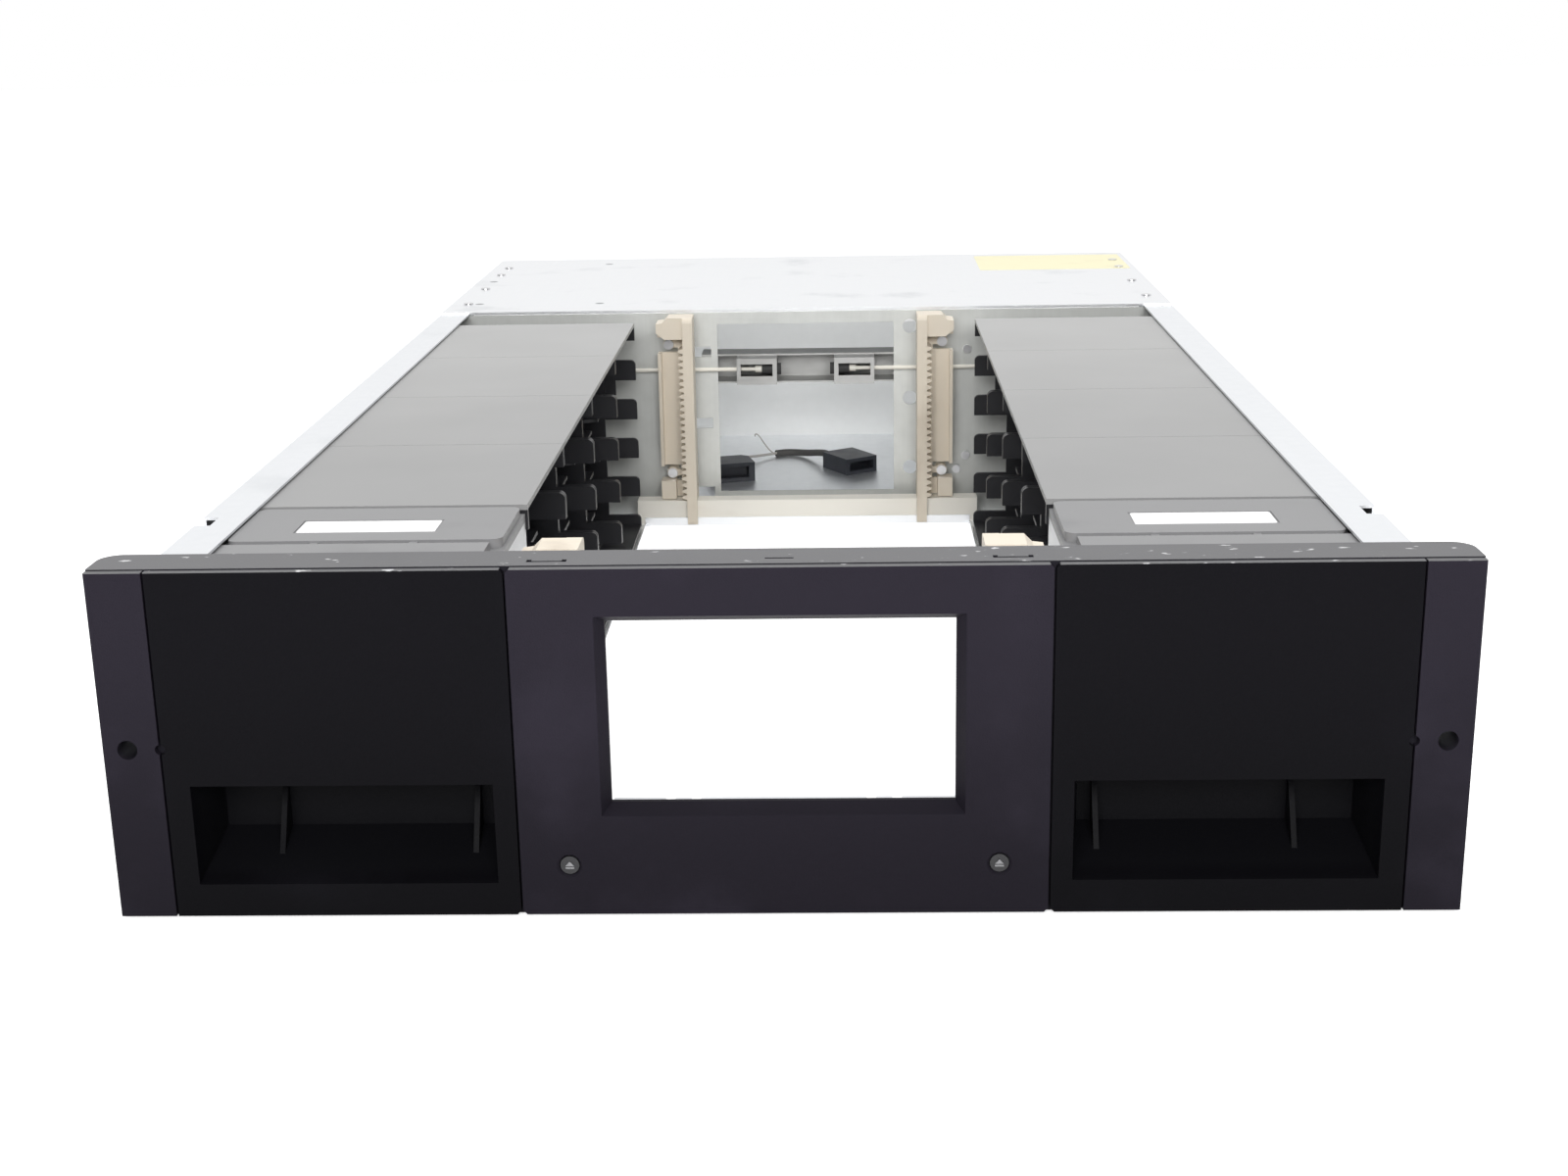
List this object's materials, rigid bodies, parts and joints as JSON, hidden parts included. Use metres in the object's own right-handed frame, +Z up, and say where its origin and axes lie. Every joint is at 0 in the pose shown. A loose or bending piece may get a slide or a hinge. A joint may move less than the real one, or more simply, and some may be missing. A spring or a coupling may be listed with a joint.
{
  "type": "data tape library chassis",
  "caption": "Rack-mounted tape library chassis with two sliding cartridge magazines, toothed lift racks, a lock bar and a rear bay.",
  "frame": {"origin": "under the middle of the whole object, on its underside", "axes": "+X to the right seen from the front, +Y from the front panel to the back, +Z up"},
  "size_m": [0.4826, 0.823, 0.131],
  "materials": {
    "galvanised_steel": "satin",
    "cover_steel": "satin",
    "bulkhead_steel": "satin",
    "bay_steel": "satin",
    "blank_steel": "satin",
    "panel_plastic": "fine moulded grain",
    "rack_acetal": "moulded",
    "rail_acetal": "moulded",
    "zinc_steel": "satin",
    "coil": "matt",
    "glide_plastic": "moulded",
    "circuit_board": "gloss",
    "screw_steel": "bright",
    "black_screw": "satin",
    "connector_plastic": "matt",
    "lead_sleeve": "matt",
    "button_plastic": "satin",
    "rod_plastic": "moulded",
    "roof_plastic": "smooth moulded",
    "nose_steel": "satin",
    "magazine_plastic": "moulded"
  },
  "bodies": {
    "root": {"base_pan": "galvanised_steel", "side_wall_left": "galvanised_steel", "side_wall_right": "galvanised_steel", "rear_cover": "cover_steel", "rear_panel": "bay_steel", "drive_blank_lower": "blank_steel", "drive_blank_middle": "blank_steel", "drive_blank_upper": "blank_steel", "supply_blank_lower": "blank_steel", "supply_blank_upper": "blank_steel", "bulkhead": "bulkhead_steel", "mounting_sheet": "galvanised_steel", "front_frame": "panel_plastic", "centre_panel": "panel_plastic", "ear_cover_left": "panel_plastic", "ear_cover_right": "panel_plastic", "rack_rear_left": "rack_acetal", "rack_rear_right": "rack_acetal", "rack_front_left": "rack_acetal", "rack_front_right": "rack_acetal", "tie_rail": "rail_acetal", "lock_bar": "zinc_steel", "bracket_left": "zinc_steel", "bracket_right": "zinc_steel", "solenoid_left": "coil", "solenoid_right": "coil", "glides": "glide_plastic", "side_guides": "glide_plastic", "switch_boards": "circuit_board", "rack_screws": "screw_steel", "bulkhead_screws": "screw_steel", "cover_screws": "screw_steel", "blank_screws": "black_screw", "bay_connector": "connector_plastic", "lead": "lead_sleeve", "lead_plug": "connector_plastic"},
    "magazine_left": {"magazine_left_tray": "magazine_plastic", "magazine_left_column_1": "magazine_plastic", "magazine_left_column_2": "magazine_plastic", "magazine_left_column_3": "magazine_plastic", "magazine_left_column_4": "magazine_plastic", "magazine_left_roof": "roof_plastic", "magazine_left_nose": "nose_steel", "magazine_left_nose_cover": "roof_plastic", "magazine_left_front": "panel_plastic", "magazine_left_lug": "magazine_plastic"},
    "magazine_right": {"magazine_right_tray": "magazine_plastic", "magazine_right_column_1": "magazine_plastic", "magazine_right_column_2": "magazine_plastic", "magazine_right_column_3": "magazine_plastic", "magazine_right_column_4": "magazine_plastic", "magazine_right_roof": "roof_plastic", "magazine_right_nose": "nose_steel", "magazine_right_nose_cover": "roof_plastic", "magazine_right_front": "panel_plastic", "magazine_right_lug": "magazine_plastic"},
    "eject_button_left": {"eject_button_left": "button_plastic"},
    "eject_button_right": {"eject_button_right": "button_plastic"},
    "release_rod_left": {"release_rod_left": "rod_plastic"},
    "release_rod_right": {"release_rod_right": "rod_plastic"}
  },
  "joints": [
    {"name": "magazine_left_slide", "type": "slide", "parent": "root", "child": "magazine_left", "axis": [0, -1, 0], "range_m": [0, 0.5]},
    {"name": "magazine_right_slide", "type": "slide", "parent": "root", "child": "magazine_right", "axis": [0, -1, 0], "range_m": [0, 0.5]},
    {"name": "eject_button_left_press", "type": "slide", "parent": "root", "child": "eject_button_left", "axis": [0, 1, 0], "range_m": [0, 0.0016], "stiffness_N_per_m": 400},
    {"name": "eject_button_right_press", "type": "slide", "parent": "root", "child": "eject_button_right", "axis": [0, 1, 0], "range_m": [0, 0.0016], "stiffness_N_per_m": 400},
    {"name": "release_rod_left_slide", "type": "slide", "parent": "root", "child": "release_rod_left", "axis": [-1, 0, 0], "range_m": [0, 0.008], "stiffness_N_per_m": 60},
    {"name": "release_rod_right_slide", "type": "slide", "parent": "root", "child": "release_rod_right", "axis": [1, 0, 0], "range_m": [0, 0.008], "stiffness_N_per_m": 60}
  ]
}
